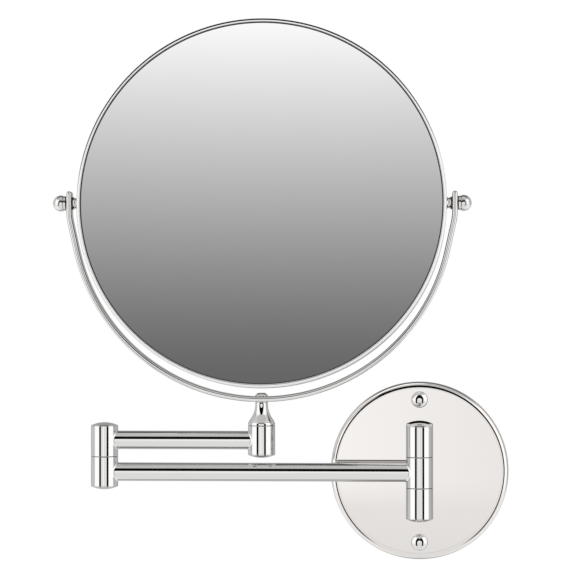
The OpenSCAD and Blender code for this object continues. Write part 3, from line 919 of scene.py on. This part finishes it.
def yoke_screw():
    seat = reach("yoke_screw", "z", 1) - YOKE_HEAD_H
    tip = reach("yoke_screw", "z", -1)
    profile = [(0, tip), (STUD_R - 0.3 * MM, tip), (STUD_R, tip + 0.3 * MM), (STUD_R, seat),
               (YOKE_HEAD_R, seat), (YOKE_HEAD_R, seat + YOKE_HEAD_EDGE),
               (YOKE_HEAD_R - 0.6 * MM, seat + 1.4 * MM), (YOKE_HEAD_TOP_R, seat + YOKE_HEAD_H),
               (0, seat + YOKE_HEAD_H)]
    place = on_z(STEM_X, HINGE_Y)
    obj = turned("yoke_screw", profile, place, 64, ease=0.35 * MM)
    cut(obj, prism(SOCKET_R, seat + YOKE_SOCKET_FLOOR, seat + 2 * YOKE_HEAD_H, place, 6))


# Mirror head -----------------------------------------------------------------------------------

FRAME_R = half_width("mirror_frame")
FRAME_DEPTH = 14.0 * MM
SIGHT_R = 115.1 * MM
FRAME_WALL = 1.2 * MM
LIP_T = 1.1 * MM
GLASS_R = half_width("front_glass")
GLASS_T = 2.5 * MM
SAG = 5.5 * MM
# Outside this radius the glass is painted dark, as a ring 0.8 mm wide inside the lip.
DARK_RING_R = SIGHT_R - 0.8 * MM
LIP_CROWN = 2
LIP_RISE = 0.02 * MM
LIP_SINK = 0.25 * MM
BACK_EDGE = 0.15 * MM
GLASS_EDGE = 0.2 * MM
HEAD_SEGMENTS = 320
FRONT = FRAME_DEPTH / 2


def mirror_frame():
    """Rolled band whose front lip is nearly flat, with a small corner outside and a fuller one inside."""
    outer, inner = 0.35 * MM, 0.6 * MM
    lip = arc((FRAME_R - outer, FRONT - outer - LIP_RISE), outer, 0, 90 - LIP_CROWN, 7)
    lip += [((FRAME_R + SIGHT_R) / 2, FRONT)]
    lip += arc((SIGHT_R + inner, FRONT - inner - LIP_RISE), inner, 90 + LIP_CROWN, 180, 7)
    behind_lip = FRONT - LIP_T - LIP_SINK
    profile = [(FRAME_R, -FRONT + BACK_EDGE)] + lip
    profile += [(SIGHT_R, behind_lip), (FRAME_R - FRAME_WALL, behind_lip)]
    profile += [(FRAME_R - FRAME_WALL, -FRONT), (FRAME_R - BACK_EDGE, -FRONT)]
    obj = turned("mirror_frame", profile, HEAD, HEAD_SEGMENTS, closed=True)
    cut(obj, prism(STUD_R + PLAY, -THROUGH, THROUGH, on_pivot(1), 32))


def rear_bezel():
    seat = -FRONT + LIP_T
    skirt = FRAME_R - FRAME_WALL - PLAY
    back = seat + 0.6 * MM
    profile = [(SIGHT_R + 0.5 * MM, -FRONT), (skirt, -FRONT), (skirt, back),
               (GLASS_R + PLAY, back), (GLASS_R + PLAY, seat), (SIGHT_R, seat),
               (SIGHT_R, -FRONT + 0.5 * MM)]
    turned("rear_bezel", profile, HEAD, HEAD_SEGMENTS, closed=True, ease=0.2 * MM)


def paint_outside(obj, radius, place):
    """Faces of a glass outside a radius take a dark colour, a ring painted dark round the glass inside the lip."""
    obj.data.materials.append(DARK_EDGE_RING)
    back = place.inverted()
    for polygon in obj.data.polygons:
        centre = back @ polygon.center
        if math.hypot(centre.x, centre.y) > radius:
            polygon.material_index = 1


def front_glass():
    face = FRONT - LIP_T
    profile = [(0, face), (DARK_RING_R, face), (GLASS_R - GLASS_EDGE, face), (GLASS_R, face - GLASS_EDGE),
               (GLASS_R, face - GLASS_T), (0, face - GLASS_T)]
    obj = turned("front_glass", profile, HEAD, HEAD_SEGMENTS)
    paint_outside(obj, DARK_RING_R, HEAD)


def hollow_face(z, steps=40):
    """Profile of a spherical hollow whose rim lies at height z."""
    ball = ball_under(GLASS_R, SAG)
    radii = [GLASS_R * i / steps for i in range(steps + 1)]
    return [(r, z + SAG - ball + math.sqrt(ball ** 2 - r ** 2)) for r in radii]


def magnifying_glass():
    face = -(FRONT - LIP_T)
    profile = hollow_face(face) + list(reversed(hollow_face(face + GLASS_T)))
    obj = turned("magnifying_glass", profile, HEAD, HEAD_SEGMENTS)
    paint_outside(obj, DARK_RING_R, HEAD)


# Pivots ----------------------------------------------------------------------------------------

SPACER_R = 3.9 * MM
SPACER_WAIST = 0.55 * MM
KNOB_R = 5.1 * MM
KNOB_COLLAR_R = 4.6 * MM
KNOB_COLLAR_L = 1.6 * MM
KNOB_HOLE_L = 5.0 * MM


def pivots():
    for name, side in (("left", -1), ("right", 1)):
        place = on_pivot(side)
        hole = STUD_R + PLAY

        def span(node):
            """Where a piece starts and ends along the pivot line."""
            ends = [abs(x - STEM_X) for x in (reach(node, "x", -1), reach(node, "x", 1))]
            return min(ends), max(ends)

        low, high = span(name + "_spacer")
        half = (high - low) / 2
        waist = [
            (SPACER_R - SPACER_WAIST * math.sin(math.pi * i / 12), low + 2 * half * i / 12)
            for i in range(13)
        ]
        turned(name + "_spacer", [(hole, low)] + waist + [(hole, high)], place, 64, closed=True)
        for node in (name + "_inner_washer", name + "_outer_washer"):
            low, high = span(node)
            washer(node, place, half_width(node, "y"), hole, low, high)
        low, high = span(name + "_knob")
        ball = high - KNOB_R
        neck = KNOB_COLLAR_R - 0.5 * MM
        collar_end = low + KNOB_COLLAR_L - 0.3 * MM
        meet = math.degrees(math.acos(neck / KNOB_R))
        profile = [(hole, low), (KNOB_COLLAR_R, low), (KNOB_COLLAR_R, collar_end), (neck, collar_end)]
        bulb = [(KNOB_R * math.cos(math.radians(a)), ball + KNOB_R * math.sin(math.radians(a)))
                for a in [-meet + (90 + meet) * i / 24 for i in range(25)]]
        bulb[-1] = (0, high)
        profile += [point for point in bulb if point[1] > collar_end]
        profile += [(0, low + KNOB_HOLE_L), (hole, low + KNOB_HOLE_L)]
        bm = bmesh.new()
        add_lathe(bm, profile, place, 64, closed=True)
        stand_in(name + "_knob", bm, SATIN_CHROME)


# Studio ----------------------------------------------------------------------------------------

CAMERA_AT = Vector((0, HINGE_Y - 1.715, 0.1154))
PICTURE_MIDDLE = Vector((-0.082, HINGE_Y, 0.1154))
LENS_MM = 168.2
SENSOR_MM = 36.0
FLOOR_Z = -1.15
FLOOR_R = 6.0


def camera():
    data = bpy.data.cameras.new("camera")
    data.lens = LENS_MM
    data.sensor_width = SENSOR_MM
    data.clip_end = 50
    obj = bpy.data.objects.new("camera", data)
    turn = (PICTURE_MIDDLE - CAMERA_AT).to_track_quat("-Z", "Y").to_matrix().to_4x4()
    obj.matrix_world = Matrix.Translation(CAMERA_AT) @ turn
    bpy.context.scene.collection.objects.link(obj)
    bpy.context.scene.camera = obj


def floor():
    bm = bmesh.new()
    bmesh.ops.create_circle(bm, cap_ends=True, segments=128, radius=FLOOR_R,
                            matrix=Matrix.Translation((0, 0, FLOOR_Z)))
    mesh = bpy.data.meshes.new("floor")
    bm.to_mesh(mesh)
    bm.free()
    material, _, shader = new_material("pale_floor", Base_Color=(0.9, 0.9, 0.9, 1))
    shader.inputs["Roughness"].default_value = 0.9
    shader.inputs["Emission Color"].default_value = (1, 1, 1, 1)
    shader.inputs["Emission Strength"].default_value = 0.2
    mesh.materials.append(material)
    obj = bpy.data.objects.new("floor", mesh)
    obj.visible_glossy = False
    bpy.context.scene.collection.objects.link(obj)


# Brightness of the light tent's parts; azimuths and heights below are in degrees from the camera side
FRONT_WALL = 1.08
SIDE_WALLS = 1.42
RIGHT_BACK = 0.62
LEFT_BACK = 0.74
FAR_SIDE = 0.43
HIGH_PANEL = 1.3
ROOF = 0.7
FAR_ROOF = 0.5
ROOF_GAP = 0.03
FRONT_GROUND = 1.0
SIDE_GROUND = 1.15
FAR_GROUND = 0.6
DARK_ARCH = 0.004
ARCH_INSIDE = (23.3, 18.2)
ARCH_OUTSIDE = (41.4, 54.0)
ARCH_BASE = 6.0
BACKDROP = 1.0


class Sky(Nodes):
    """The world's node tree, with a ray's direction as azimuth and height."""

    def __init__(self, tree):
        super().__init__(tree)
        direction = self.add("ShaderNodeTexCoord").outputs["Generated"]
        x, y, z = self.add("ShaderNodeSeparateXYZ", {0: direction}).outputs
        degrees = 180 / math.pi
        turn = self.math("ARCTAN2", x, self.times(y, -1.0))
        self.azimuth = self.times(turn, degrees)
        self.height = self.times(self.math("ARCSINE", z), degrees)
        self.in_front = self.math("LESS_THAN", y, 0.0)
        self.behind = self.math("GREATER_THAN", y, 0.0)

    def times(self, one, two):
        return self.math("MULTIPLY", one, two)

    def mix(self, factor, one, two):
        return self.add("ShaderNodeMix", {"Factor": factor, "A": one, "B": two},
                        data_type="FLOAT").outputs[0]

    def band(self, value, low, high, soft):
        """1 between low and high, falling to 0 over soft degrees outside them."""
        rise = self.math("DIVIDE", self.math("SUBTRACT", value, low - soft), soft, clamp=True)
        fall = self.math("DIVIDE", self.math("SUBTRACT", high + soft, value), soft, clamp=True)
        return self.times(rise, fall)

    def patch(self, across, up):
        """A soft rectangle; across and up are a low end, a high end and a softness."""
        return self.times(self.band(self.azimuth, *across), self.band(self.height, *up))


def lens_panel(sky):
    """Where the panel round the lens is, and its brightness. The wall plate shows it, and it falls off
    to the right and downwards."""
    upper = sky.math("MULTIPLY_ADD", sky.azimuth, -0.04, 1.19)
    sink = sky.times(sky.math("MAXIMUM", sky.math("SUBTRACT", -3.9, sky.height), 0.0), 0.045)
    shade = sky.mix(sky.band(sky.height, -4.0, 10.0, 0.6), sky.math("SUBTRACT", 1.1, sink), upper)
    return sky.times(sky.patch((-3.0, 3.0, 6.0), (-7.0, 0.0, 3.0)), sky.in_front), shade


def light_tent(sky, panel, panel_shade):
    """White walls, greyer behind and on the roof, with two panels in front."""
    tent = sky.mix(sky.band(sky.azimuth, -30.0, 30.0, 4.0), SIDE_WALLS, FRONT_WALL)
    tent = sky.mix(sky.band(sky.azimuth, 88.0, 138.0, 7.0), tent, RIGHT_BACK)
    tent = sky.mix(sky.band(sky.azimuth, -138.0, -88.0, 7.0), tent, LEFT_BACK)
    far_right = sky.band(sky.azimuth, 142.0, 190.0, 5.0)
    far_left = sky.band(sky.azimuth, -190.0, -142.0, 5.0)
    far_side = sky.math("ADD", far_right, far_left)
    tent = sky.mix(far_side, tent, FAR_SIDE)
    tent = sky.mix(panel, tent, panel_shade)
    high_panel = sky.times(sky.patch((-14.0, 14.0, 4.0), (8.0, 30.0, 3.0)), sky.in_front)
    tent = sky.mix(high_panel, tent, HIGH_PANEL)
    roof = sky.mix(far_side, ROOF, FAR_ROOF)
    tent = sky.mix(sky.band(sky.height, 45.0, 95.0, 2.5), tent, roof)
    roof_gap = sky.times(sky.band(sky.height, 50.0, 74.0, 4.0), sky.behind)
    tent = sky.mix(sky.times(roof_gap, 0.85), tent, ROOF_GAP)
    near_ground = sky.mix(sky.band(sky.azimuth, -50.0, 50.0, 20.0), SIDE_GROUND, FRONT_GROUND)
    ground = sky.mix(far_side, near_ground, FAR_GROUND)
    return sky.mix(sky.band(sky.height, -95.0, -22.0, 14.0), tent, ground)


def dark_arch(sky):
    """Where the arch of gaps in the front wall is: between two ellipses above, and two legs below."""
    above = sky.math("MAXIMUM", sky.math("ADD", sky.height, ARCH_BASE), 0.0)

    def oval(half_w, half_h):
        across, up = sky.math("DIVIDE", sky.azimuth, half_w), sky.math("DIVIDE", above, half_h)
        return sky.math("SQRT", sky.math("ADD", sky.times(across, across), sky.times(up, up)))

    past = sky.math("SUBTRACT", oval(*ARCH_INSIDE), 1.0)
    past_inner = sky.math("MULTIPLY_ADD", past, 14.0, 0.1, clamp=True)
    within = sky.math("SUBTRACT", 1.0, oval(*ARCH_OUTSIDE))
    within_outer = sky.math("MULTIPLY", within, 26.0, clamp=True)
    arch = sky.times(sky.times(past_inner, within_outer), sky.band(sky.height, -37.0, 90.0, 5.0))
    return sky.times(arch, sky.in_front)


def plain_room(sky, panel, panel_shade):
    """What perfectly smooth finishes see: a grey room, a card over the lens that grades from white to
    grey downwards, and the panel round the lens."""
    room = sky.math("MAXIMUM", sky.math("MULTIPLY_ADD", sky.height, 0.012, 0.72), 0.2)
    card = sky.times(sky.patch((-24.0, 24.0, 8.0), (5.0, 22.0, 6.0)), sky.in_front)
    shade = sky.math("DIVIDE", sky.math("SUBTRACT", sky.height, 6.0), 8.0, clamp=True)
    shade = sky.math("MULTIPLY_ADD", sky.math("POWER", shade, 1.5), 0.99, 0.145)
    return sky.mix(panel, sky.mix(card, room, shade), panel_shade)


def studio_light():
    """Chrome sees a white light tent with a dark arch of gaps in front, which draws the dark lines that
    chrome shows in a studio. The glasses and the plate's flat face see a plain room instead."""
    world = bpy.data.worlds.new("studio")
    bpy.context.scene.world = world
    world.use_nodes = True
    world.node_tree.nodes.clear()
    sky = Sky(world.node_tree)
    panel, panel_shade = lens_panel(sky)
    tent = sky.mix(dark_arch(sky), light_tent(sky, panel, panel_shade), DARK_ARCH)
    paths = sky.add("ShaderNodeLightPath")
    lit = sky.mix(paths.outputs["Is Singular Ray"], tent, plain_room(sky, panel, panel_shade))
    strength = sky.mix(paths.outputs["Is Camera Ray"], lit, BACKDROP)
    back = sky.add("ShaderNodeBackground", {"Color": (1, 1, 1, 1), "Strength": strength})
    sky.add("ShaderNodeOutputWorld", {"Surface": back.outputs[0]})


def picture_settings():
    view = bpy.context.scene.view_settings
    view.view_transform = "Standard"
    view.look = "None"


# Build -----------------------------------------------------------------------------------------

camera()
floor()
studio_light()
picture_settings()
wall_plate()
screw_caps()
fixing_screws()
bracket_screws()
fixed_knuckles()
arm_knuckles()
arm_tubes()
barrel_caps()
hinge_washers()
yoke()
yoke_stem()
yoke_screw()
mirror_frame()
rear_bezel()
front_glass()
magnifying_glass()
pivots()
finish_carried_nodes()
